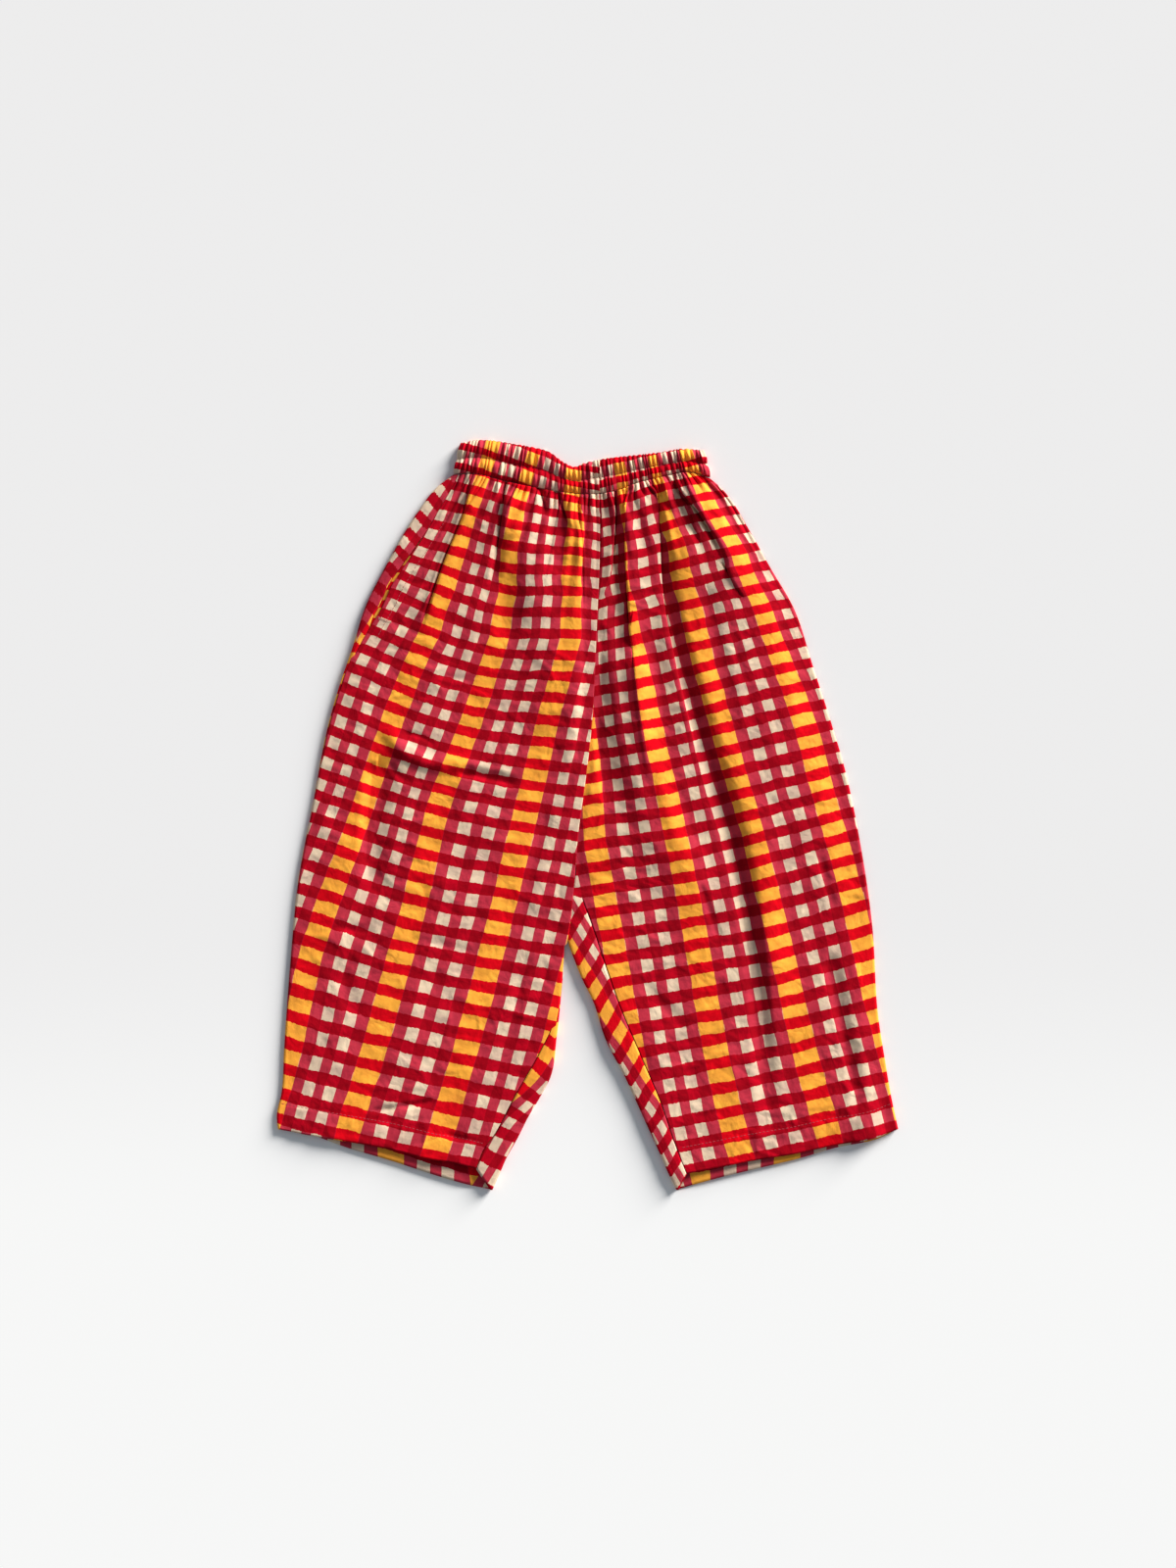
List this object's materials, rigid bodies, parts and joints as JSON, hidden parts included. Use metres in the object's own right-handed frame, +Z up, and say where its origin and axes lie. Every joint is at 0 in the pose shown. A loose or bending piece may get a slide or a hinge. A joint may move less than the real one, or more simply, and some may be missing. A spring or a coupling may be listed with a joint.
{
  "type": "wide-leg trousers",
  "caption": "Child's pull-on wide-leg cotton trousers with a gathered elastic waistband and side pocket, laid flat, front up.",
  "frame": {"origin": "on the surface it lies on, under the middle of the garment's outline", "axes": "+X towards the wearer's left leg, +Y towards the waist, +Z up through the cloth; the front faces up"},
  "size_m": [0.506, 0.6114, 0.0107],
  "materials": {
    "front_cloth": "matte block-printed plain-weave cotton",
    "back_cloth": "matte block-printed plain-weave cotton",
    "waistband_cloth": "matte block-printed plain-weave cotton, shirred over elastic",
    "facing_cloth": "matte printed plain-weave cotton"
  },
  "bodies": {
    "root": {"front_right": "front_cloth", "front_left": "front_cloth", "back_right": "back_cloth", "back_left": "back_cloth", "waistband": "waistband_cloth", "pocket_facing": "facing_cloth"}
  },
  "joints": []
}
